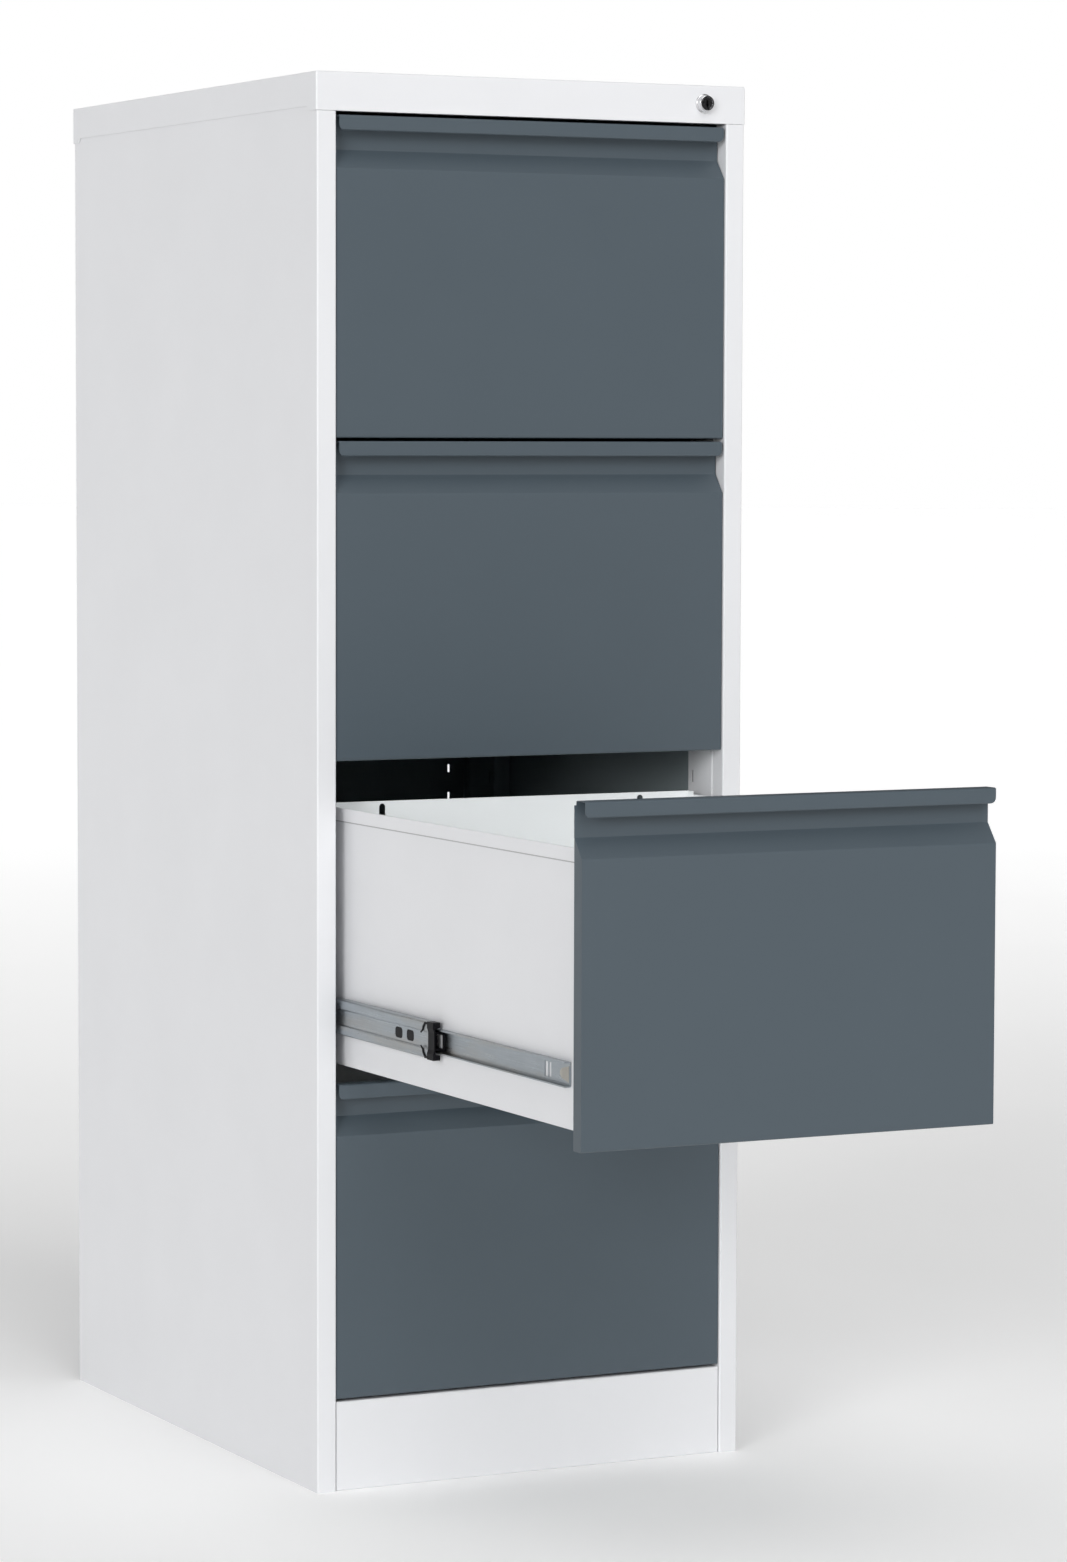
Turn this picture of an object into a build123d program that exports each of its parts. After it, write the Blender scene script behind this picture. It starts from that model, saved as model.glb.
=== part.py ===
"""Four-drawer vertical steel filing cabinet, in millimetres.

Frame: +X to the right as seen from the front, +Y to the back, +Z up, with the origin on the floor under the
middle of the carcass. Depths named *_D are measured back from the carcass's front plane. Drawers count from
the top. The third one is modelled pulled out to its stop, and the others are shut.
"""

from build123d import *
import math
import os

# Carcass
WIDTH, DEPTH, HEIGHT = 452.0, 620.0, 1330.0
SHEET = 0.7
BEND = 1.0
CAP_OVERHANG = 1.0
CAP_REAR_OVERHANG = 2.0
CAP_FRONT_H = 36.0
CAP_SIDE_H = 31.5
CAP_CORNER = 17.0
STILE_W = 19.5
STILE_RETURN = 20.0
REAR_FLANGE = 16.0
FOOT_FLANGE = 14.0
PLINTH_H = 85.0
PLINTH_D = 2.0
BACK_SLOT_X, BACK_SLOT_Z = 204.5, (185.0, 215.0, 245.0)
FLOOR_PAN_Z = 70.0
FOOT_X, FOOT_INSET, FOOT_STUD_R = 170.0, 80.0, 4.0

# Drawers: fronts are stacked upwards from FRONT_BASE_Z
DRAWERS = 4
FRONT_BASE_Z = 87.5
PITCH = 301.5
TRAVEL = 505.0
OPEN_DRAWER = 3
FRONT_W, FRONT_H = 409.0, 298.5
FACE_D = 2.5
RECESS_D = 16.5
FRONT_REAR_D = 17.2
SLOPE_LOW, SLOPE_HIGH = 249.5, 267.0
LIP_W, LIP_H, LIP_RETURN = 405.0, 14.0, 4.0
LIP_CORNER = 5.5
TRAY_W = 384.0
TRAY_LOW, TRAY_HIGH = 13.5, 256.5
TRAY_FRONT_D, TRAY_REAR_D = 18.2, 550.0
HEM_H, HEM_GAP = 12.0, 0.9
BACK_HIGH = 259.5
PANEL_FLANGE = 12.0
RAIL_SLOT_X, RAIL_SLOT_W, RAIL_SLOT_H = 138.0, 6.5, 24.0

# Slides: u runs from the post's face towards the drawer, v up from the slide's centre line
SLIDE_Z = 61.5
POST_FACE_X = 204.9
RAIL = 1.1
OUTER_U0, OUTER_V, OUTER_LIP_U, OUTER_LIP_V = 0.1, 22.5, 9.0, 19.6
MIDDLE_V, MIDDLE_EDGE_U, MIDDLE_WEB_U, MIDDLE_FLANGE_U = 16.5, 2.2, 3.85, 10.5
MIDDLE_STEP_V, MIDDLE_WEB_V = 7.8, 7.0
INNER_V, INNER_WEB_U, INNER_FLANGE_U = 11.0, 12.7, 6.0
OUTER_FRONT_D, OUTER_REAR_D = 32.0, 532.0
MIDDLE_FRONT_D, MIDDLE_REAR_D = 58.0, 517.0
MIDDLE_HOLE_D, MIDDLE_HOLE_L, MIDDLE_HOLE_H = (98.4, 123.0), 15.5, 10.0
INNER_FRONT_D, INNER_REAR_D = 45.0, 530.0
INNER_SLOT_D, INNER_SLOT_L, INNER_HOLE_H = 87.5, 13.0, 13.0
INNER_WINDOW_D, INNER_WINDOW_L = 306.0, 15.0
OUTER_CAGE_D, OUTER_CAGE_L = 168.0, 209.0
INNER_CAGE_D, INNER_CAGE_L = 188.0, 202.0
BALL_PITCH, BALL_MARGIN = 24.0, 9.0
OUTER_CAGE_U, INNER_CAGE_U = (1.45, 8.6), (5.25, 11.2)
OUTER_BALL_R, OUTER_BALL_U, OUTER_BALL_V = 2.35, 5.6, 18.95
INNER_BALL_R, INNER_BALL_U, INNER_BALL_V = 2.1, 8.0, 13.2
CAGE = 0.4
POCKET_CLEAR = 0.12
CLIP_FRONT_D, CLIP_TOP_U = 45.0, 10.2
RING_FRONT_D, RING_REAR_D, RING_V, RING_T, RING_BAR = 38.0, 57.5, 8.4, 1.4, 2.8
PLUG_GAP, PLUG_T = 0.12, 0.9

# Posts that carry the slides
POST_W, POST_T, POST_FLANGE = 50.0, 1.0, 18.4
FRONT_POST_D, REAR_POST_D = 21.0, 505.0
FRONT_SLOT_D, REAR_SLOT_D = 61.0, 515.0
POST_TOP_Z, POST_LOW_Z = 1288.0, 4.0
POST_SLOT_W, POST_SLOT_H, SLOT_STEPS = 3.0, 12.0, 10

# Lock
LOCK_X, LOCK_Z = 181.0, 1312.5
LOCK_PROUD, PLUG_SUNK = 7.0, 1.0
BEZEL_R, NOSE_R, NOSE_ROOT_R, BARREL_R, PLUG_R = 9.3, 7.5, 8.3, 8.0, 5.95
BARREL_REAR_D = 22.0
PLUG_CLEAR = 0.05
CAM_R, CAM_THROW, CAM_PIN_R = 7.0, 8.5, 1.5
CAM_D, CAM_T = 24.0, 2.0
BAR_STROKE = 2 * CAM_THROW * math.sin(math.radians(45))
BAR_X, BAR_T, BAR_W, BAR_D = 208.4, 2.0, 16.0, 26.0
BAR_LOW_Z = 110.0
ARM_D, ARM_T, ARM_H = 28.0, 1.6, 10.0
LUG_Z, LUG_H, LUG_W, LUG_D, LUG_TIP_X = 200.0, 10.0, 6.0, 30.0, 196.0
CATCH_TOP, CATCH_H, CATCH_D = 196.0, 16.0, 38.0

Y_FRONT = -DEPTH / 2
BODY_HALF = WIDTH / 2 - CAP_OVERHANG
OPENING_HALF = BODY_HALF - STILE_W
BODY_REAR_Y = DEPTH / 2 - CAP_REAR_OVERHANG
CAP_LOW_Z = HEIGHT - CAP_FRONT_H


def at(depth):
    """Y of a depth behind the front plane."""
    return Y_FRONT + depth


def base_z(number):
    """Bottom edge of the front of a drawer, counted from the top."""
    return FRONT_BASE_Z + (DRAWERS - number) * PITCH


def offset_point(before, here, after, distance):
    """The mitred offset of one point of a path, to the left of its direction."""
    ways = [way for way in (here - before if before else None, after - here if after else None) if way]
    normals = [Vector(-way.Y, way.X, 0).normalized() for way in ways]
    if len(normals) == 1:
        return here + normals[0] * distance
    middle = (normals[0] + normals[1]).normalized()
    return here + middle * (distance / middle.dot(normals[0]))


def folded(path, thickness=SHEET, side=1, bend=BEND):
    """Section of a bent sheet. path follows one face, and the sheet lies to its left (side 1) or right (-1)."""
    face = [Vector(a, b, 0) for a, b in path]
    ends = [None] + face, face[1:] + [None]
    back = [offset_point(ends[0][i], face[i], ends[1][i], side * thickness) for i in range(len(face))]
    outline = [(p.X, p.Y) for p in face + back[::-1]]
    section = make_face(Polyline(*outline, close=True))
    for i in range(1, len(face) - 1):
        turn = (face[i] - face[i - 1]).cross(face[i + 1] - face[i]).Z * side
        inner, outer = (back[i], face[i]) if turn > 0 else (face[i], back[i])
        for point, radius in ((inner, bend), (outer, bend + thickness)):
            corner = section.vertices().sort_by_distance(point)[0]
            section = fillet(corner, radius)
    return section


def along_x(section, length, start):
    """A YZ section extruded along +X."""
    return Pos(start, 0, 0) * extrude(Plane.YZ * section, amount=length)


def along_y(section, length, start):
    """An XZ section extruded along +Y."""
    return Pos(0, start + length, 0) * extrude(Plane.XZ * section, amount=length)


def along_z(section, length, start):
    """An XY section extruded along +Z."""
    return Pos(0, 0, start) * extrude(section, amount=length)


def block(low, high):
    """A box between two corners."""
    size = [b - a for a, b in zip(low, high)]
    return Pos(*low) * Box(*size, align=(Align.MIN, Align.MIN, Align.MIN))


def rod_y(x, z, radius, start, end):
    """A cylinder along Y."""
    return Pos(x, start, z) * Rot(-90, 0, 0) * Cylinder(
        radius, end - start, align=(Align.CENTER, Align.CENTER, Align.MIN)
    )


def both_sides(shape):
    """The right-hand shapes and their mirror images on the left."""
    return Compound(children=list(shape.solids()) + list(mirror(shape, Plane.YZ).solids()))


def save(name, shape):
    """Writes one node. Its solids stay separate."""
    solids = list(shape.solids())
    export_step(solids[0] if len(solids) == 1 else Compound(children=solids), f"parts/{name}.step")


# ---------------------------------------------------------------- carcass


def side_panel():
    """Right side: rear flange, web, front stile and its return, with the web running up under the cap."""
    plan = [
        (BODY_HALF - REAR_FLANGE, BODY_REAR_Y),
        (BODY_HALF, BODY_REAR_Y),
        (BODY_HALF, Y_FRONT),
        (OPENING_HALF, Y_FRONT),
        (OPENING_HALF, at(STILE_RETURN)),
    ]
    panel = along_z(folded(plan, side=-1), CAP_LOW_Z - 0.3, 0)
    lug_low = (BODY_HALF - SHEET, at(4), CAP_LOW_Z - 0.3)
    lug_high = (BODY_HALF, BODY_REAR_Y - 4, HEIGHT - SHEET - 1)
    top_flange = block(
        (BODY_HALF - FOOT_FLANGE, at(60), HEIGHT - 2 * SHEET - 1),
        (BODY_HALF, BODY_REAR_Y - 60, HEIGHT - SHEET - 1),
    )
    foot = block((BODY_HALF - FOOT_FLANGE, at(24), 0), (BODY_HALF, BODY_REAR_Y - 24, SHEET))
    return panel + block(lug_low, lug_high) + top_flange + foot


def back_panel():
    """Flat back inside the rear flanges, folded forward at its edges, with a column of slots on each side."""
    half = BODY_HALF - SHEET - 0.3
    rear = BODY_REAR_Y - SHEET - 0.1
    plan = [(-half, rear - 12), (-half, rear), (half, rear), (half, rear - 12)]
    panel = along_z(folded(plan, side=-1), HEIGHT - SHEET - 4, 2)
    slots = [
        Pos(side * BACK_SLOT_X, rear, base_z(number) + height) * Box(2.4, 4, 8.4)
        for side in (-1, 1)
        for number in range(1, DRAWERS + 1)
        for height in BACK_SLOT_Z
    ]
    return panel - slots


def top_cap():
    """Lid with a deep front fascia; its side skirts are shallower between the corners."""
    outer = block((-WIDTH / 2, Y_FRONT, CAP_LOW_Z), (WIDTH / 2, DEPTH / 2, HEIGHT))
    outer = fillet(outer.edges().filter_by(Axis.Z), BEND + SHEET)
    outer = fillet(outer.faces().sort_by(Axis.Z)[-1].edges(), BEND + SHEET - 0.1)
    half = WIDTH / 2 - SHEET
    room = block((-half, at(SHEET), CAP_LOW_Z - 1), (half, DEPTH / 2 - SHEET, HEIGHT - SHEET))
    cap = outer - room
    relief_z = HEIGHT - CAP_SIDE_H
    rise = relief_z - CAP_LOW_Z
    skirt_cut = make_face(
        Polyline(
            (at(CAP_CORNER), CAP_LOW_Z - 1),
            (at(CAP_CORNER), CAP_LOW_Z),
            (at(CAP_CORNER) + rise, relief_z),
            (DEPTH / 2 - CAP_CORNER - rise, relief_z),
            (DEPTH / 2 - CAP_CORNER, CAP_LOW_Z),
            (DEPTH / 2 - CAP_CORNER, CAP_LOW_Z - 1),
            close=True,
        )
    )
    cap -= along_x(skirt_cut, WIDTH + 2, -WIDTH / 2 - 1)
    shelf = block((-OPENING_HALF + 1, at(SHEET), CAP_LOW_Z), (OPENING_HALF - 1, at(15), CAP_LOW_Z + SHEET))
    hole = rod_y(LOCK_X, LOCK_Z, BARREL_R + 0.1, at(-1), at(3))
    return cap + shelf - hole


def plinth():
    """Kick panel between the stiles, with a shelf over it and a foot flange under it."""
    profile = [(at(34), PLINTH_H), (at(PLINTH_D), PLINTH_H), (at(PLINTH_D), 0), (at(16), 0)]
    half = POST_FACE_X - 0.2
    return along_x(folded(profile, side=1), 2 * half, -half)


def floor_pan():
    """Bottom of the carcass: a pan whose skirts stand on the floor and turn inwards there as a rim."""
    half = POST_FACE_X - 0.4
    front, rear = at(36), BODY_REAR_Y - 14
    pan = block((-half, front, 0), (half, rear, FLOOR_PAN_Z))
    pan = fillet(pan.faces().sort_by(Axis.Z)[-1].edges(), BEND + SHEET)
    inside = block((-half + SHEET, front + SHEET, SHEET), (half - SHEET, rear - SHEET, FLOOR_PAN_Z - SHEET))
    rim = FOOT_FLANGE
    mouth = block((-half + rim, front + rim, -1), (half - rim, rear - rim, 2))
    holes = [Pos(x, y, FLOOR_PAN_Z) * Cylinder(FOOT_STUD_R + 0.2, 10) for x, y in foot_spots()]
    return pan - inside - mouth - holes


def foot_spots():
    """Plan positions of the four feet."""
    return [(x, y) for x in (-FOOT_X, FOOT_X) for y in (at(FOOT_INSET), at(DEPTH - FOOT_INSET))]


def slide_post(front_d, slot_d):
    """Right-hand upright: a channel with a column of slots that the slides hook into."""
    x = POST_FACE_X
    near, far = at(front_d), at(front_d + POST_W)
    plan = [(x + POST_FLANGE, near), (x, near), (x, far), (x + POST_FLANGE, far)]
    post = along_z(folded(plan, thickness=POST_T, side=-1), POST_TOP_Z - POST_LOW_Z, POST_LOW_Z)
    slots = [
        Pos(x, at(slot_d), FRONT_BASE_Z + SLIDE_Z + step * PITCH / SLOT_STEPS)
        * Box(6, POST_SLOT_W, POST_SLOT_H)
        for step in range(-2, DRAWERS * SLOT_STEPS - 3)
    ]
    return post - slots


def lug_windows():
    """Openings in the right front post that the lock bar's lugs reach through."""
    low = at(LUG_D - 2)
    high = at(LUG_D + LUG_W + 2)
    return [
        block(
            (POST_FACE_X - 1, low, base_z(n) + LUG_Z - BAR_STROKE - 3),
            (POST_FACE_X + 3, high, base_z(n) + LUG_Z + LUG_H + 3),
        )
        for n in range(1, DRAWERS + 1)
    ]


def levelling_feet():
    """Four screw feet, each a disc, a hex and a stud that passes through the floor pan."""
    foot = Cylinder(14, 5, align=(Align.CENTER, Align.CENTER, Align.MIN))
    foot = fillet(foot.faces().sort_by(Axis.Z)[-1].edges(), 1.5)
    foot += Pos(0, 0, 5) * extrude(RegularPolygon(7, 6), amount=5)
    stud_top = FLOOR_PAN_Z + 8
    foot += Pos(0, 0, 10) * Cylinder(FOOT_STUD_R, stud_top - 10, align=(Align.CENTER, Align.CENTER, Align.MIN))
    return Compound(children=[Pos(x, y, 0) * foot for x, y in foot_spots()])


def back_screws():
    """Pan-head screws that hold the back panel to the side panels' rear flanges."""
    head = Rot(90, 0, 0) * Cylinder(3.6, 1.8, align=(Align.CENTER, Align.CENTER, Align.MIN))
    head = fillet(head.faces().sort_by(Axis.Y)[0].edges(), 1.2)
    head -= Pos(0, -1.8, 0) * (Box(3.4, 1.4, 0.8) + Box(0.8, 1.4, 3.4))
    head = Rot(0, 0, 180) * head
    heights = [70 + 1190 * i / 5 for i in range(6)]
    return Compound(
        children=[Pos(side * (BODY_HALF - 8), BODY_REAR_Y, z) * head for side in (-1, 1) for z in heights]
    )


# ---------------------------------------------------------------- drawers


def drawer_front():
    """Coloured outer front: one bent sheet with the full-width pull, and a return at each end."""
    path = [
        (at(RECESS_D), 0),
        (at(FACE_D), 0),
        (at(FACE_D), SLOPE_LOW),
        (at(RECESS_D), SLOPE_HIGH),
        (at(RECESS_D), FRONT_H),
        (at(0), FRONT_H),
        (at(0), FRONT_H - LIP_H),
        (at(LIP_RETURN), FRONT_H - LIP_H),
    ]
    lower_path = path[:4] + [(at(RECESS_D), FRONT_H - 4)]
    lower = along_x(folded(lower_path, side=-1), FRONT_W, -FRONT_W / 2)
    # The same sheet carries on from the recess over the top and down the lip, a little narrower.
    upper_path = [(at(FRONT_REAR_D), FRONT_H - 8), (at(FRONT_REAR_D), FRONT_H)] + path[5:]
    upper = along_x(folded(upper_path, side=1), LIP_W, -LIP_W / 2)
    for side in (-1, 1):
        upper -= lip_corner(side)
    profile = make_face(
        Polyline(
            (at(FACE_D + SHEET / 2), SHEET / 2),
            (at(FACE_D + SHEET / 2), SLOPE_LOW),
            (at(RECESS_D + SHEET / 2), SLOPE_HIGH),
            (at(RECESS_D + SHEET / 2), SHEET / 2),
            close=True,
        )
    )
    ends = [along_x(profile, SHEET, x) for x in (-FRONT_W / 2, FRONT_W / 2 - SHEET)]
    return lower + upper + ends


def lip_corner(side):
    """What is cut away to round one lower corner of the lip."""
    corner = Pos(side * LIP_W / 2, 0, FRONT_H - LIP_H)
    square = Box(2 * LIP_CORNER, 20, 2 * LIP_CORNER)
    centre = Pos(-side * LIP_CORNER, 0, LIP_CORNER)
    return corner * Pos(0, at(0), 0) * (square - centre * Rot(90, 0, 0) * Cylinder(LIP_CORNER, 30))


def inner_front():
    """White liner that closes the back of the front, slotted for file rails and folded back at its ends."""
    half = TRAY_W / 2 - SHEET - 0.2
    near = at(FRONT_REAR_D) + 0.1
    plan = [(-half, near + PANEL_FLANGE), (-half, near), (half, near), (half, near + PANEL_FLANGE)]
    panel = along_z(folded(plan, side=1), BACK_HIGH - TRAY_LOW - 2, TRAY_LOW + 1.5)
    return panel - rail_slots(near)


def rail_slots(y):
    """Two round-topped slots that a pair of file rails can hook into."""
    slot = Pos(0, 0, BACK_HIGH - 2.5 - RAIL_SLOT_H / 2) * Rot(90, 0, 0) * extrude(
        RectangleRounded(RAIL_SLOT_W, RAIL_SLOT_H, RAIL_SLOT_W / 2 - 0.05), amount=5, both=True
    )
    return [Pos(x, y, 0) * slot for x in (-RAIL_SLOT_X, RAIL_SLOT_X)]


def tray():
    """Sides and bottom in one folded sheet; each side's top edge is hemmed outwards."""
    half = TRAY_W / 2
    hem_x = half + HEM_GAP + SHEET
    profile = [
        (hem_x, TRAY_HIGH - HEM_H),
        (hem_x, TRAY_HIGH),
        (half - SHEET, TRAY_HIGH),
        (half - SHEET, TRAY_LOW + SHEET),
        (-half + SHEET, TRAY_LOW + SHEET),
        (-half + SHEET, TRAY_HIGH),
        (-hem_x, TRAY_HIGH),
        (-hem_x, TRAY_HIGH - HEM_H),
    ]
    return along_y(folded(profile, side=1, bend=0.4), TRAY_REAR_D - TRAY_FRONT_D, at(TRAY_FRONT_D))


def tray_back():
    """Rear wall of the drawer, folded forward at its ends and hemmed back along its top, with rail slots."""
    half = TRAY_W / 2 - SHEET - 0.2
    rear = at(TRAY_REAR_D)
    plan = [(-half, rear - PANEL_FLANGE), (-half, rear), (half, rear), (half, rear - PANEL_FLANGE)]
    return along_z(folded(plan, side=-1), BACK_HIGH - TRAY_LOW - 1.5, TRAY_LOW + 1.5) - rail_slots(rear)


def latch_catch():
    """Angle on the drawer's right side that the lock bar's lug drops in front of."""
    side_x = TRAY_W / 2
    plan = [(side_x + 0.1, at(CATCH_D + 22)), (side_x + 0.1, at(CATCH_D)), (side_x + 10, at(CATCH_D))]
    return along_z(folded(plan, thickness=1.5, side=1), CATCH_H, CATCH_TOP - CATCH_H)


# ---------------------------------------------------------------- slides


def rail_section(points, side):
    """Section of a slide member from (u, v) points, placed on the right-hand side of the cabinet."""
    return folded([(POST_FACE_X - u, v) for u, v in points], thickness=RAIL, side=side, bend=0.5)


def outer_rail():
    """Cabinet member: a channel with in-turned lips and two hooks that enter the posts' slots."""
    points = [
        (OUTER_LIP_U, OUTER_LIP_V),
        (OUTER_LIP_U, OUTER_V),
        (OUTER_U0, OUTER_V),
        (OUTER_U0, -OUTER_V),
        (OUTER_LIP_U, -OUTER_V),
        (OUTER_LIP_U, -OUTER_LIP_V),
    ]
    rail = along_y(rail_section(points, -1), OUTER_REAR_D - OUTER_FRONT_D, at(OUTER_FRONT_D))
    for slot_d in (FRONT_SLOT_D, REAR_SLOT_D):
        low = (POST_FACE_X - OUTER_U0 - 0.5, at(slot_d) - 1.2, -4)
        high = (POST_FACE_X + POST_T + 2, at(slot_d) + 1.2, 4)
        rail += block(low, high)
    return rail


def middle_rail():
    """Intermediate member: a channel with a stepped web and two oblong holes near its front end."""
    points = [
        (MIDDLE_FLANGE_U, MIDDLE_V),
        (MIDDLE_EDGE_U, MIDDLE_V),
        (MIDDLE_EDGE_U, MIDDLE_STEP_V),
        (MIDDLE_WEB_U, MIDDLE_WEB_V),
        (MIDDLE_WEB_U, -MIDDLE_WEB_V),
        (MIDDLE_EDGE_U, -MIDDLE_STEP_V),
        (MIDDLE_EDGE_U, -MIDDLE_V),
        (MIDDLE_FLANGE_U, -MIDDLE_V),
    ]
    rail = along_y(rail_section(points, -1), MIDDLE_REAR_D - MIDDLE_FRONT_D, at(MIDDLE_FRONT_D))
    return rail - middle_holes(0, 8)


def middle_holes(clearance, depth):
    """The two oblong holes as solids, smaller all round by the clearance."""
    size = (MIDDLE_HOLE_H - 2 * clearance, MIDDLE_HOLE_L - 2 * clearance)
    outline = Rot(0, 90, 0) * RectangleRounded(*size, 3.5)
    middle_x = POST_FACE_X - MIDDLE_WEB_U - RAIL / 2
    return [Pos(middle_x, at(d), 0) * extrude(outline, amount=depth / 2, both=True) for d in MIDDLE_HOLE_D]


def inner_rail():
    """Drawer member: a channel screwed to the drawer's side, with a window, a front slot and a stop."""
    points = [
        (INNER_FLANGE_U, INNER_V),
        (INNER_WEB_U, INNER_V),
        (INNER_WEB_U, -INNER_V),
        (INNER_FLANGE_U, -INNER_V),
    ]
    rail = along_y(rail_section(points, 1), INNER_REAR_D - INNER_FRONT_D, at(INNER_FRONT_D))
    x = POST_FACE_X - INNER_WEB_U
    window = Box(6, INNER_WINDOW_L, INNER_HOLE_H)
    slot = Box(6, INNER_SLOT_L, INNER_HOLE_H)
    rail -= [Pos(x, at(INNER_WINDOW_D), 0) * window, Pos(x, at(INNER_SLOT_D), 0) * slot]
    lip_low = (x + 0.2, at(INNER_SLOT_D - 1), -INNER_HOLE_H / 2 - 0.5)
    lip_high = (x + RAIL - 0.1, at(INNER_SLOT_D - 0.3), INNER_HOLE_H / 2 + 0.5)
    stop = Polyline((0, -7.5), (0, 7.5), (14, 4.5), (18, 1.5), (18, -1.5), (14, -4.5), close=True)
    stop = extrude(Plane.YZ * make_face(stop), amount=1.2)
    return rail + block(lip_low, lip_high) + Pos(x + RAIL - 0.2, at(INNER_FRONT_D), 0) * stop


def ball_cage(u_span, front_d, length, ball_r, ball_u, ball_v):
    """A channel-shaped retainer and its balls, in pockets along both flanges. u_span is from its web to its tips."""
    u_web, u_end = u_span
    v_flange = ball_v + CAGE / 2
    points = [(u_end, v_flange), (u_web, v_flange), (u_web, -v_flange), (u_end, -v_flange)]
    section = folded([(POST_FACE_X - u, v) for u, v in points], thickness=CAGE, side=-1, bend=0.3)
    strip = along_y(section, length, at(front_d))
    count = int((length - 2 * BALL_MARGIN) // BALL_PITCH) + 1
    spots = [
        (POST_FACE_X - ball_u, at(front_d + BALL_MARGIN + i * BALL_PITCH), side * ball_v)
        for i in range(count)
        for side in (-1, 1)
    ]
    strip -= [Pos(*spot) * Cylinder(ball_r + POCKET_CLEAR, 4) for spot in spots]
    return Compound(children=[strip] + [Pos(*spot) * Sphere(ball_r) for spot in spots])


def outer_cage():
    """Balls between the cabinet member and the intermediate member."""
    return ball_cage(OUTER_CAGE_U, OUTER_CAGE_D, OUTER_CAGE_L, OUTER_BALL_R, OUTER_BALL_U, OUTER_BALL_V)


def inner_cage():
    """Balls between the intermediate member and the drawer member."""
    return ball_cage(INNER_CAGE_U, INNER_CAGE_D, INNER_CAGE_L, INNER_BALL_R, INNER_BALL_U, INNER_BALL_V)


def bumper():
    """Moulded end stop on the intermediate member: a plate with two spring arms and a ring, and two snap plugs."""
    return Compound(children=[bumper_plate() + bumper_arms() + bumper_ring()] + middle_holes(PLUG_GAP, PLUG_T))


def bumper_plate():
    """Plate across the front end of the rail, with an ear at each end."""
    ear = [(1.4, 11.5), (1.4, 17.2), (8.6, 17.2), (8.6, 12.6), (3.8, 11.5)]
    groove = [(2.6, -8.0), (2.6, 8.0)]
    lower_ear = [(u, -v) for u, v in ear[::-1]]
    outline = [(POST_FACE_X - u, v) for u, v in ear + lower_ear + groove]
    length = MIDDLE_FRONT_D - 0.1 - CLIP_FRONT_D
    return along_y(make_face(Polyline(*outline, close=True)), length, at(CLIP_FRONT_D))


def bumper_arms():
    """Two thin curved arms that lie on the rail's web behind the plate."""
    outer_edge = [(-1, 16.5), (5, 16.5), (9.5, 12), (10.5, 9), (14, 6.5)]
    inner_edge = [(13, 5.5), (9, 8), (8, 11), (4, 14.5), (-1, 14.5)]
    upper = extrude(Plane.YZ * make_face(Polyline(*outer_edge, *inner_edge, close=True)), amount=0.75)
    place_it = Pos(POST_FACE_X - MIDDLE_EDGE_U + 0.1, at(MIDDLE_FRONT_D), 0)
    return place_it * (upper + mirror(upper, Plane.XY))


def bumper_ring():
    """Rounded ring beside the drawer member, joined to the plate by two walls."""
    near, far = at(RING_FRONT_D), at(RING_REAR_D)
    x = POST_FACE_X - CLIP_TOP_U
    ring = block((x, near, -RING_V), (x + RING_T, far, RING_V))
    ring = fillet(ring.edges().filter_by(Axis.X), 2.5)
    hole_v = RING_V - 2
    ring -= block((x - 1, near + RING_BAR, -hole_v), (x + RING_T + 1, far - RING_BAR, hole_v))
    wall_v = RING_V - 1
    plate_x = POST_FACE_X - 3.6
    walls = [
        block((x, at(CLIP_FRONT_D + 1), v - 0.8), (plate_x, far - 1, v + 0.8))
        for v in (-wall_v, wall_v)
    ]
    return ring + walls


# ---------------------------------------------------------------- lock


def lock_housing():
    """Chromed barrel with a flange and a tapered nose, bored for the plug."""
    bore = PLUG_R + PLUG_CLEAR
    outline = [
        (bore, -LOCK_PROUD),
        (NOSE_R, -LOCK_PROUD),
        (NOSE_ROOT_R, -1.8),
        (BEZEL_R, -1.8),
        (BEZEL_R, -0.05),
        (BARREL_R, -0.05),
        (BARREL_R, BARREL_REAR_D),
        (bore, BARREL_REAR_D),
    ]
    section = make_face(Polyline(*outline, close=True))
    for point, radius in (((NOSE_R, -LOCK_PROUD), 0.7), ((BEZEL_R, -1.8), 1.0), ((NOSE_ROOT_R, -1.8), 0.4)):
        corner = section.vertices().sort_by_distance(point)[0]
        section = fillet(corner, radius)
    return Pos(LOCK_X, at(0), LOCK_Z) * revolve(section, Axis.Y)


def lock_nut():
    """Hex nut that clamps the barrel behind the fascia."""
    nut = Pos(LOCK_X, at(SHEET + 0.1), LOCK_Z) * Rot(-90, 0, 0) * extrude(RegularPolygon(11, 6), amount=4)
    return nut - rod_y(LOCK_X, LOCK_Z, BARREL_R + 0.05, at(-1), at(8))


def lock_plug():
    """Turning core with a stepped keyway in its face."""
    plug = rod_y(LOCK_X, LOCK_Z, PLUG_R, at(-LOCK_PROUD + PLUG_SUNK), at(CAM_D - 0.1))
    plug = chamfer(plug.faces().sort_by(Axis.Y)[0].edges(), 0.5)
    plug += rod_y(LOCK_X, LOCK_Z, 3.0, at(CAM_D - 0.5), at(CAM_D + CAM_T + 1.2))
    key_y = at(-LOCK_PROUD)
    keyway = Pos(LOCK_X, key_y + 5, LOCK_Z) * (Box(1.5, 10, 7.6) + Pos(0.9, 0, -1.4) * Box(1.4, 10, 1.6))
    return plug - keyway


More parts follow.
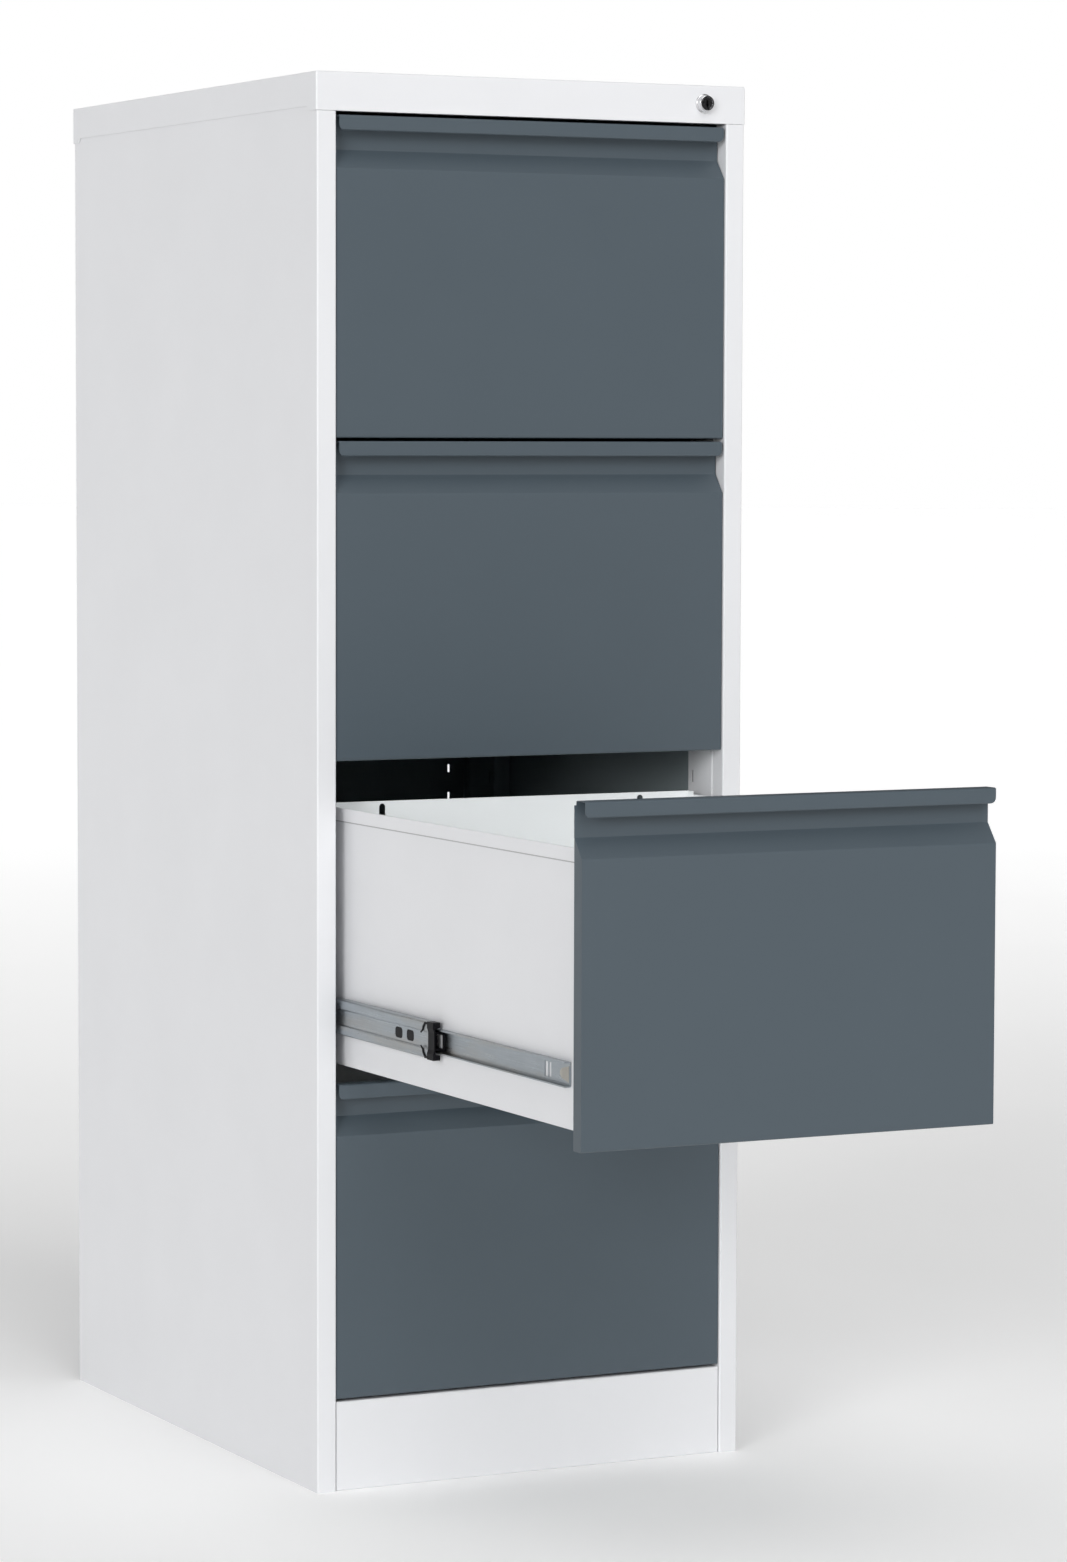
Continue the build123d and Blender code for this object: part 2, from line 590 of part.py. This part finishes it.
def lock_cam():
    """Cam on the plug's tail, with the pin that drives the lock bar."""
    pin_x = LOCK_X + CAM_THROW * math.cos(math.radians(45))
    pin_z = LOCK_Z + CAM_THROW * math.sin(math.radians(45))
    cam = rod_y(LOCK_X, LOCK_Z, CAM_R, at(CAM_D), at(CAM_D + CAM_T))
    cam += rod_y(pin_x, pin_z, 3.2, at(CAM_D), at(CAM_D + CAM_T))
    cam -= rod_y(LOCK_X, LOCK_Z, 3.03, at(CAM_D - 1), at(CAM_D + 5))
    return cam + rod_y(pin_x, pin_z, CAM_PIN_R, at(CAM_D + 1), at(ARM_D + ARM_T + 1.5))


def lock_bar():
    """Flat bar in the right front post, with a slotted drive arm on top and one lug for each drawer welded on."""
    pin_z = LOCK_Z + BAR_STROKE / 2
    strip = block((BAR_X, at(BAR_D), BAR_LOW_Z), (BAR_X + BAR_T, at(BAR_D + BAR_W), pin_z + ARM_H / 2))
    arm_left = LOCK_X + 2
    arm = block((arm_left, at(ARM_D), pin_z - ARM_H / 2), (BAR_X, at(ARM_D + ARM_T), pin_z + ARM_H / 2))
    slot_half_h = CAM_PIN_R + 0.4
    slot_right = LOCK_X + CAM_THROW + CAM_PIN_R + 1
    arm -= block(
        (arm_left + 1.4, at(ARM_D - 1), pin_z - slot_half_h),
        (slot_right, at(ARM_D + ARM_T + 1), pin_z + slot_half_h),
    )
    heights = [base_z(n) + LUG_Z for n in range(1, DRAWERS + 1)]
    lugs = [block((LUG_TIP_X, at(LUG_D), z), (BAR_X, at(LUG_D + LUG_W), z + LUG_H)) for z in heights]
    return Compound(children=[strip, arm] + lugs)


def bar_guides():
    """Straps inside the right front post that keep the lock bar upright."""
    guides = []
    inner = POST_FACE_X + POST_T + 0.1
    for z in [base_z(number) + 120 for number in range(1, DRAWERS + 1)]:
        strap = block((inner, at(BAR_D - 1.8), z), (BAR_X + BAR_T + 1.6, at(BAR_D + BAR_W + 1.8), z + 14))
        room = block((inner - 1, at(BAR_D - 0.3), z - 1), (BAR_X + BAR_T + 0.3, at(BAR_D + BAR_W + 0.3), z + 15))
        guides.append(strap - room)
    return Compound(children=guides)


# ---------------------------------------------------------------- output


def place(number, shape, share=1.0):
    """A drawer's piece at its height, and pulled out by its share of the travel if that drawer is open."""
    pull = TRAVEL * share if number == OPEN_DRAWER else 0.0
    return Pos(0, -pull, base_z(number)) * shape


def save_carcass():
    right_side = side_panel()
    save("right_side_panel", right_side)
    save("left_side_panel", mirror(right_side, Plane.YZ))
    save("back_panel", back_panel())
    save("top_cap", top_cap())
    save("plinth", plinth())
    save("floor_pan", floor_pan())
    front_post = slide_post(FRONT_POST_D, FRONT_SLOT_D)
    rear_post = slide_post(REAR_POST_D, REAR_SLOT_D)
    save("right_front_post", front_post - lug_windows())
    save("left_front_post", mirror(front_post, Plane.YZ))
    save("right_rear_post", rear_post)
    save("left_rear_post", mirror(rear_post, Plane.YZ))
    save("levelling_feet", levelling_feet())
    save("back_screws", back_screws())
    rail = outer_rail()
    rails = Compound(children=[Pos(0, 0, base_z(n) + SLIDE_Z) * rail for n in range(1, DRAWERS + 1)])
    save("right_cabinet_rails", rails)
    save("left_cabinet_rails", mirror(rails, Plane.YZ))


def save_drawers():
    slide = Pos(0, 0, SLIDE_Z)
    pieces = {
        "front": (drawer_front(), 1.0),
        "inner_front": (inner_front(), 1.0),
        "tray": (tray(), 1.0),
        "back": (tray_back(), 1.0),
        "latch_catch": (latch_catch(), 1.0),
        "inner_rails": (both_sides(slide * inner_rail()), 1.0),
        "middle_rails": (both_sides(slide * middle_rail()), 0.5),
        "bumpers": (both_sides(slide * bumper()), 0.5),
        "outer_ball_cages": (both_sides(slide * outer_cage()), 0.25),
        "inner_ball_cages": (both_sides(slide * inner_cage()), 0.75),
    }
    for number in range(1, DRAWERS + 1):
        for name, (shape, share) in pieces.items():
            save(f"drawer_{number}_{name}", place(number, shape, share))


def save_lock():
    save("lock_housing", lock_housing())
    save("lock_nut", lock_nut())
    save("lock_plug", lock_plug())
    save("lock_cam", lock_cam())
    save("lock_bar", lock_bar())
    save("lock_bar_guides", bar_guides())


os.makedirs("parts", exist_ok=True)
save_carcass()
save_drawers()
save_lock()
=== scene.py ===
"""Looks for the four-drawer filing cabinet: paint, plated steel, chrome and plastic on the CAD frame."""

import math

import bmesh
import bpy
from mathutils import Euler, Matrix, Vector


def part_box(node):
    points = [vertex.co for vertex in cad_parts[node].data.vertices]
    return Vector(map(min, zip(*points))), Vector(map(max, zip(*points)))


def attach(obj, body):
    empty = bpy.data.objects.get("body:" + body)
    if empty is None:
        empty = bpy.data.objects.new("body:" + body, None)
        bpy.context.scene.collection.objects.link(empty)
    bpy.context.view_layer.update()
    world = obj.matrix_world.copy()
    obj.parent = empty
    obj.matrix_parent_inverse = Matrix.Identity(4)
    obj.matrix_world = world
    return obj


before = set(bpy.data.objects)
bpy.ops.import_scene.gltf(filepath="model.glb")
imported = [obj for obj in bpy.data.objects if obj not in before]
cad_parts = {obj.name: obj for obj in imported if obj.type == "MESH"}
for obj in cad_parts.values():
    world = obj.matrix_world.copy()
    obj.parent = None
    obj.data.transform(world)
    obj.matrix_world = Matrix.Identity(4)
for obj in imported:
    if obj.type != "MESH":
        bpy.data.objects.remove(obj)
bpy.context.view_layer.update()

# Camera, in metres and degrees, at the viewing angle of a product shot from the cabinet's left
CAMERA_POS = (-2.0743, -4.4721, 0.9986)
CAMERA_YAW, CAMERA_PITCH, CAMERA_ROLL = 26.492, 4.087, 0.167
CAMERA_LENS, SENSOR = 112.82, 36.0

# Paint colours are linear numbers
WHITE_PAINT = (0.80, 0.806, 0.825)
FRONT_PAINT = (0.071, 0.0945, 0.114)
# Painted light: this lighter white inside the drawers and on the drawer backs stands in for light bouncing
# inside them; the colour after it is a painted shadow line under each tray's hem
TRAY_INSIDE_PAINTED_LIGHT = (0.93, 0.955, 0.96)
HEM_SHADE = (0.42, 0.42, 0.43)
# Painted shade: this darker grey on the cabinet's inner surfaces and rear posts stands in for the deep shade
# inside the cabinet
INSIDE_PAINTED_SHADE = (0.36, 0.42, 0.44)
ZINC = (0.345, 0.38, 0.41)
ZINC_WARM = (0.40, 0.38, 0.345)
CHROME = (0.72, 0.72, 0.73)
PLUG_METAL = (0.42, 0.42, 0.43)
# Painted highlight: lighter, warmer metal tone for the sheets on the slide stops, where the stops catch the
# light
STOP_HIGHLIGHT_TONE = (0.56, 0.55, 0.50)
BLACK_PLASTIC = (0.005, 0.005, 0.0065)

COAT_ROUGHNESS = 0.42

MM = 0.001
DRAWERS = 4
DRAWER_PITCH = 301.5 * MM
HALF_SHEET = 0.35 * MM
STILE_DEPTH, REAR_FLANGE_T = 21 * MM, 0.8 * MM
TRAY_HEM_H, TRAY_HEM_STEP, HEM_CREASE_H = 12 * MM, 1.6 * MM, 1.3 * MM

# Painted highlight: thin lighter sheets on the slide members' stops, where the stops catch the light: place
# across the cabinet, thickness, and the upper half of the outline
STOP_PAD_X, STOP_PAD_T = 194.1 * MM, 0.4 * MM
STOP_PAD_BEVEL = 0.3 * STOP_PAD_T
STOP_PAD_UPPER = ((0.5, 7.2), (13.6, 4.4), (17.2, 1.6))

# Studio: the floor's glow grows from near to far, and the sky's light grows with height
FLOOR_RADIUS = 60
GLOW_NEAR, GLOW_FAR = 1.0, 7.0
GLOW_LOW, GLOW_HIGH = 0.1, 0.36
SKY_LOW_Z, SKY_HIGH_Z, SKY_STRENGTH = -0.1, 0.9, 0.23

# Lamps: name, strength, softness, azimuth, elevation. Angles are in degrees
SUNS = (
    ("front_key", 0.98, 40, 0, 32),
    ("left_key", 1.44, 25, -50, 13),
    ("top", 0.62, 40, -15, 72),
    ("right_fill", 0.42, 60, 100, 20),
    ("back_fill", 0.42, 60, 190, 25),
)


# ---------------------------------------------------------------- node helpers


class Nodes:
    """A material's node tree, with short calls that add and wire its nodes."""

    def __init__(self, name):
        self.material = bpy.data.materials.new(name)
        self.material.use_nodes = True
        self.tree = self.material.node_tree
        self.tree.nodes.clear()
        self.shader = self.add("ShaderNodeBsdfPrincipled")
        output = self.add("ShaderNodeOutputMaterial")
        self.wire(self.shader.outputs["BSDF"], output.inputs["Surface"])
        self.place = self.add("ShaderNodeTexCoord").outputs["Object"]

    def add(self, kind, **settings):
        node = self.tree.nodes.new(kind)
        for key, value in settings.items():
            setattr(node, key, value)
        return node

    def wire(self, source, target):
        self.tree.links.new(source, target)

    def set(self, **values):
        """Plain numbers and colours on the shader's own sockets."""
        for key, value in values.items():
            name = key.replace("_", " ")
            socket = self.shader.inputs[name]
            socket.default_value = (*value, 1.0) if isinstance(value, tuple) else value

    def stretched(self, scale):
        """The object's own coordinates, multiplied along each axis."""
        mapping = self.add("ShaderNodeMapping")
        self.wire(self.place, mapping.inputs["Vector"])
        mapping.inputs["Scale"].default_value = scale
        return mapping.outputs["Vector"]

    def noise(self, scale, detail=2.0, rough=0.5, place=None):
        node = self.add("ShaderNodeTexNoise")
        self.wire(place or self.place, node.inputs["Vector"])
        node.inputs["Scale"].default_value = scale
        node.inputs["Detail"].default_value = detail
        node.inputs["Roughness"].default_value = rough
        return node.outputs["Fac"]

    def ramp(self, value, low, high, out_low=0.0, out_high=1.0):
        node = self.add("ShaderNodeMapRange")
        self.wire(value, node.inputs["Value"])
        node.inputs["From Min"].default_value = low
        node.inputs["From Max"].default_value = high
        node.inputs["To Min"].default_value = out_low
        node.inputs["To Max"].default_value = out_high
        return node.outputs["Result"]

    def mix(self, factor, first, second):
        """A colour mix. first and second are colours or sockets."""
        node = self.add("ShaderNodeMix", data_type="RGBA")
        self.wire(factor, node.inputs["Factor"])
        for value, socket in ((first, node.inputs["A"]), (second, node.inputs["B"])):
            if isinstance(value, tuple):
                socket.default_value = (*value, 1.0)
            else:
                self.wire(value, socket)
        return node.outputs["Result"]

    def math(self, operation, first, second=None):
        node = self.add("ShaderNodeMath", operation=operation)
        for value, socket in zip((first, second), node.inputs):
            if isinstance(value, (int, float)):
                socket.default_value = value
            elif value is not None:
                self.wire(value, socket)
        return node.outputs["Value"]

    def axes(self, source):
        node = self.add("ShaderNodeSeparateXYZ")
        self.wire(source, node.inputs["Vector"])
        return node.outputs

    def bump(self, height, distance, strength=1.0, normal=None):
        node = self.add("ShaderNodeBump")
        self.wire(height, node.inputs["Height"])
        node.inputs["Distance"].default_value = distance
        node.inputs["Strength"].default_value = strength
        if normal:
            self.wire(normal, node.inputs["Normal"])
        return node.outputs["Normal"]


def shade(colour, factor):
    """A colour made lighter or darker."""
    return tuple(min(1.0, channel * factor) for channel in colour)


# ---------------------------------------------------------------- materials


def powder_coat(name, colour, roughness, zones=()):
    """Satin powder coat on sheet steel: orange peel, slow waviness of the sheet and a slight mottle.

    zones lists (mask, colour) for the parts of the surface with another colour.
    """
    n = Nodes(name)
    mottle = n.noise(9.0, detail=3.0)
    speckle = n.noise(1400.0, detail=1.0)
    tone = n.mix(n.ramp(mottle, 0.3, 0.7), shade(colour, 0.985), shade(colour, 1.01))
    tone = n.mix(n.ramp(speckle, 0.35, 0.75, 0.0, 0.35), tone, shade(colour, 0.965))
    for mask, zone_colour in zones:
        tone = n.mix(mask(n), tone, zone_colour)
    n.wire(tone, n.shader.inputs["Base Color"])
    patchy = n.noise(30.0, detail=4.0)
    n.wire(n.ramp(patchy, 0.3, 0.7, roughness - 0.03, roughness + 0.03), n.shader.inputs["Roughness"])
    wave = n.bump(n.noise(5.0, detail=1.0), 0.0012, 0.5)
    peel = n.bump(n.noise(900.0, detail=2.0), 0.00003, 0.6, wave)
    n.wire(peel, n.shader.inputs["Normal"])
    n.set(Specular_IOR_Level=0.5, IOR=1.5)
    return n.material


def back_panel_shade_mask(n):
    """Full where the back panel's surface looks into the cabinet, where a darker colour is painted as shade."""
    geometry = n.add("ShaderNodeNewGeometry")
    facing = n.axes(geometry.outputs["Normal"])["Y"]
    return n.math("LESS_THAN", facing, 0.5)


def side_panel_shade_mask(n):
    """Full on the side panels' inner surfaces behind the front stile, where a darker colour is painted as shade.
    """
    low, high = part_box("right_side_panel")
    place = n.axes(n.place)
    inner = n.math("LESS_THAN", n.math("ABSOLUTE", place["X"]), high.x - HALF_SHEET)
    behind = n.math("GREATER_THAN", place["Y"], low.y + STILE_DEPTH)
    within = n.math("LESS_THAN", place["Y"], high.y - REAR_FLANGE_T)
    return n.math("MULTIPLY", n.math("MULTIPLY", inner, behind), within)


def tray_painted_light_mask(n):
    """Full on the surfaces that look into a drawer, where a lighter white is painted as the light bouncing
    inside it.
    """
    wall_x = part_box("drawer_1_tray")[1].x - TRAY_HEM_STEP - HALF_SHEET
    return n.math("LESS_THAN", n.math("ABSOLUTE", n.axes(n.place)["X"]), wall_x)


def hem_crease(n):
    """Full on the narrow strip of each tray side just under the hem's lower edge, where the hem's shadow is
    painted into the coat.
    """
    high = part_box("drawer_1_tray")[1]
    place = n.axes(n.place)
    outer = n.math("GREATER_THAN", n.math("ABSOLUTE", place["X"]), high.x - TRAY_HEM_STEP - HALF_SHEET)
    crease_z = high.z - TRAY_HEM_H - 0.5 * HEM_CREASE_H
    shifted = n.math("ADD", place["Z"], 4.5 * DRAWER_PITCH - crease_z)
    repeated = n.math("MODULO", shifted, DRAWER_PITCH)
    from_crease = n.math("ABSOLUTE", n.math("SUBTRACT", repeated, 0.5 * DRAWER_PITCH))
    return n.math("MULTIPLY", outer, n.math("LESS_THAN", from_crease, 0.5 * HEM_CREASE_H))


def plated_steel(name, colour, roughness, grain):
    """Zinc-plated rolled steel: fine rolling marks along grain, and warm and cool clouds in the plating."""
    n = Nodes(name)
    along = tuple(1.0 if axis == grain else 60.0 for axis in "XYZ")
    marks = n.noise(22.0, detail=5.0, rough=0.6, place=n.stretched(along))
    streak = tuple(4.0 if axis == grain else 30.0 for axis in "XYZ")
    cloud = n.noise(1.6, detail=3.0, place=n.stretched(streak))
    tone = n.mix(n.ramp(cloud, 0.48, 0.72), colour, ZINC_WARM)
    tone = n.mix(n.ramp(marks, 0.4, 0.75, 0.0, 0.5), tone, shade(colour, 0.82))
    tone = n.mix(n.ramp(n.noise(60.0, detail=4.0), 0.35, 0.7, 0.0, 0.3), tone, shade(colour, 1.15))
    n.wire(tone, n.shader.inputs["Base Color"])
    n.wire(n.ramp(marks, 0.3, 0.7, roughness - 0.05, roughness + 0.07), n.shader.inputs["Roughness"])
    n.wire(n.bump(marks, 0.00002, 0.4), n.shader.inputs["Normal"])
    n.set(Metallic=1.0)
    return n.material


def polished_chrome(name, colour):
    """Bright plate with faint handling marks."""
    n = Nodes(name)
    marks = n.noise(800.0, detail=5.0, rough=0.7)
    n.wire(n.ramp(marks, 0.3, 0.8, 0.07, 0.2), n.shader.inputs["Roughness"])
    n.wire(n.mix(n.ramp(marks, 0.3, 0.7), shade(colour, 0.9), colour), n.shader.inputs["Base Color"])
    n.wire(n.bump(n.noise(350.0, detail=2.0), 0.00002, 0.4), n.shader.inputs["Normal"])
    n.set(Metallic=1.0)
    return n.material


def moulded_plastic(name):
    """Black moulded plastic with a fine spark-eroded grain."""
    n = Nodes(name)
    grain = n.noise(2200.0, detail=3.0)
    tone = n.mix(grain, shade(BLACK_PLASTIC, 0.7), shade(BLACK_PLASTIC, 1.5))
    n.wire(tone, n.shader.inputs["Base Color"])
    n.wire(n.ramp(grain, 0.3, 0.7, 0.4, 0.52), n.shader.inputs["Roughness"])
    n.wire(n.bump(grain, 0.00003, 0.4), n.shader.inputs["Normal"])
    n.set(Specular_IOR_Level=0.12)
    return n.material


def floor_material():
    """Pale matt studio floor with a barely visible mottle, which glows a little more far from the cabinet."""
    n = Nodes("studio_floor")
    cloud = n.noise(3.0, detail=4.0)
    n.wire(n.mix(cloud, (0.94, 0.94, 0.94), (0.96, 0.96, 0.96)), n.shader.inputs["Base Color"])
    n.wire(n.ramp(cloud, 0.3, 0.7, 0.75, 0.85), n.shader.inputs["Roughness"])
    distance = n.add("ShaderNodeVectorMath", operation="LENGTH")
    n.wire(n.place, distance.inputs[0])
    glow = n.ramp(distance.outputs["Value"], GLOW_NEAR, GLOW_FAR, GLOW_LOW, GLOW_HIGH)
    n.wire(glow, n.shader.inputs["Emission Strength"])
    n.set(Specular_IOR_Level=0.1, Emission_Color=(1.0, 1.0, 1.0))
    return n.material


def paint_nodes():
    """Gives every CAD node its material."""
    white = powder_coat("white_powder_coat", WHITE_PAINT, COAT_ROUGHNESS)
    # Painted shade: a darker colour on the inner surfaces of the back and side panels
    back_shade_zones = [(back_panel_shade_mask, INSIDE_PAINTED_SHADE)]
    back = powder_coat("white_coat_back_panel_painted_shade", WHITE_PAINT, COAT_ROUGHNESS, back_shade_zones)
    side_shade_zones = [(side_panel_shade_mask, INSIDE_PAINTED_SHADE)]
    side = powder_coat("white_coat_side_panel_painted_shade", WHITE_PAINT, COAT_ROUGHNESS, side_shade_zones)
    # Painted light and shade: a lighter white inside the trays and on the drawer backs, and a dark line under
    # each hem
    tray_light_and_shade_zones = [(tray_painted_light_mask, TRAY_INSIDE_PAINTED_LIGHT), (hem_crease, HEM_SHADE)]
    tray = powder_coat("white_coat_tray_painted_light_and_shade", WHITE_PAINT, COAT_ROUGHNESS, tray_light_and_shade_zones)
    drawer_back = powder_coat("drawer_back_painted_light", TRAY_INSIDE_PAINTED_LIGHT, COAT_ROUGHNESS)
    # Painted shade: the rear posts are coloured all over with the darker inside grey
    inside = powder_coat("painted_shade_inside", INSIDE_PAINTED_SHADE, 0.5)
    grey = powder_coat("blue_grey_powder_coat", FRONT_PAINT, 0.44)
    zinc = plated_steel("zinc_plated_steel", ZINC, 0.3, "Y")
    hardware = plated_steel("zinc_plated_hardware", ZINC, 0.34, "Z")
    chrome = polished_chrome("polished_chrome", CHROME)
    plug = polished_chrome("darkened_plug", PLUG_METAL)
    plastic = moulded_plastic("black_moulded_plastic")
    by_word = [
        ("back_panel", back),
        ("side_panel", side),
        ("rear_post", inside),
        ("_tray", tray),
        ("_back", drawer_back),
        ("cabinet_rails", zinc),
        ("inner_rails", zinc),
        ("middle_rails", zinc),
        ("ball_cages", zinc),
        ("bumpers", plastic),
        ("lock_housing", chrome),
        ("lock_plug", plug),
        ("lock_", hardware),
        ("latch_catch", hardware),
        ("levelling_feet", hardware),
        ("screws", hardware),
        ("inner_front", white),
        ("front_post", white),
        ("_front", grey),
    ]
    for name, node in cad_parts.items():
        material = next((m for word, m in by_word if word in name), white)
        node.data.materials.clear()
        node.data.materials.append(material)


# ---------------------------------------------------------------- small pieces


def stop_highlight_sheet(name, side, centre_z, front_y):
    """Thin sheet on the tapered stop at the front end of a drawer's slide member, whose lighter tone is a
    painted highlight where the stop catches the light. side is -1 on the left.
    """
    mesh = bpy.data.meshes.new(name)
    shape = bmesh.new()
    outline = [*STOP_PAD_UPPER, *((y, -z) for y, z in STOP_PAD_UPPER[::-1])]
    points = [shape.verts.new((0.0, y * MM, z * MM)) for y, z in outline]
    face = shape.faces.new(points)
    raised = bmesh.ops.extrude_face_region(shape, geom=[face])["geom"]
    moved = [v for v in raised if isinstance(v, bmesh.types.BMVert)]
    bmesh.ops.translate(shape, verts=moved, vec=(side * STOP_PAD_T, 0, 0))
    bmesh.ops.bevel(shape, geom=list(shape.edges), offset=STOP_PAD_BEVEL, segments=2, affect="EDGES")
    bmesh.ops.recalc_face_normals(shape, faces=shape.faces)
    bmesh.ops.translate(shape, verts=shape.verts, vec=(side * STOP_PAD_X, front_y, centre_z))
    shape.to_mesh(mesh)
    shape.free()
    pad = bpy.data.objects.new(name, mesh)
    bpy.context.scene.collection.objects.link(pad)
    return pad


def build_stop_highlight_sheets():
    """One painted highlight sheet on each side of each drawer, where the slide member of that drawer begins."""
    # Painted highlight: a lighter copy of the plated steel
    highlight_tone = plated_steel("stop_painted_highlight", STOP_HIGHLIGHT_TONE, 0.42, "Z")
    for number in range(1, DRAWERS + 1):
        low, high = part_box(f"drawer_{number}_inner_rails")
        for side, word in ((-1, "left"), (1, "right")):
            pad = stop_highlight_sheet(f"drawer_{number}_{word}_stop_pad", side, (low.z + high.z) / 2, low.y)
            pad.data.materials.append(highlight_tone)
            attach(pad, f"drawer_{number}")


# ---------------------------------------------------------------- studio


def build_camera():
    camera = bpy.data.objects.new("camera", bpy.data.cameras.new("camera"))
    bpy.context.scene.collection.objects.link(camera)
    camera.data.sensor_width = SENSOR
    camera.data.lens = CAMERA_LENS
    camera.data.clip_start, camera.data.clip_end = 0.05, 200
    turn = Matrix.Rotation(math.radians(-CAMERA_YAW), 4, "Z")
    tilt = Matrix.Rotation(math.radians(90 - CAMERA_PITCH), 4, "X")
    roll = Matrix.Rotation(math.radians(CAMERA_ROLL), 4, "Z")
    camera.matrix_world = Matrix.Translation(CAMERA_POS) @ turn @ tilt @ roll
    bpy.context.scene.camera = camera


def build_floor():
    mesh = bpy.data.meshes.new("floor")
    shape = bmesh.new()
    bmesh.ops.create_circle(shape, cap_ends=True, radius=FLOOR_RADIUS, segments=96)
    shape.to_mesh(mesh)
    shape.free()
    floor = bpy.data.objects.new("floor", mesh)
    bpy.context.scene.collection.objects.link(floor)
    mesh.materials.append(floor_material())


def add_sun(name, strength, softness, azimuth, elevation):
    """A distant soft light. azimuth 0 is in front of the cabinet, and grows towards its right side."""
    light = bpy.data.lights.new(name, "SUN")
    light.energy = strength
    light.angle = math.radians(softness)
    sun = bpy.data.objects.new(name, light)
    bpy.context.scene.collection.objects.link(sun)
    sun.matrix_world = Euler((math.radians(90 - elevation), 0, math.radians(azimuth))).to_matrix().to_4x4()


def build_world():
    """White to the camera, and a soft sky that darkens towards the horizon for everything else."""
    world = bpy.data.worlds.new("studio")
    bpy.context.scene.world = world
    world.use_nodes = True
    tree = world.node_tree
    tree.nodes.clear()
    output = tree.nodes.new("ShaderNodeOutputWorld")
    both = tree.nodes.new("ShaderNodeMixShader")
    path = tree.nodes.new("ShaderNodeLightPath")
    seen = tree.nodes.new("ShaderNodeBackground")
    seen.inputs["Strength"].default_value = 1.0
    seen.inputs["Color"].default_value = (1, 1, 1, 1)
    lit = tree.nodes.new("ShaderNodeBackground")
    place = tree.nodes.new("ShaderNodeTexCoord")
    split = tree.nodes.new("ShaderNodeSeparateXYZ")
    ramp = tree.nodes.new("ShaderNodeMapRange")
    ramp.inputs["From Min"].default_value = SKY_LOW_Z
    ramp.inputs["From Max"].default_value = SKY_HIGH_Z
    ramp.inputs["To Min"].default_value = 0.0
    ramp.inputs["To Max"].default_value = SKY_STRENGTH
    tree.links.new(place.outputs["Generated"], split.inputs["Vector"])
    tree.links.new(split.outputs["Z"], ramp.inputs["Value"])
    tree.links.new(ramp.outputs["Result"], lit.inputs["Strength"])
    tree.links.new(path.outputs["Is Camera Ray"], both.inputs["Fac"])
    tree.links.new(lit.outputs["Background"], both.inputs[1])
    tree.links.new(seen.outputs["Background"], both.inputs[2])
    tree.links.new(both.outputs["Shader"], output.inputs["Surface"])


def build_studio():
    """Camera, floor, sky and lamps. None of them is part of the cabinet."""
    build_camera()
    build_floor()
    build_world()
    for sun in SUNS:
        add_sun(*sun)
    bpy.context.scene.view_settings.view_transform = "Standard"


build_studio()
paint_nodes()
build_stop_highlight_sheets()
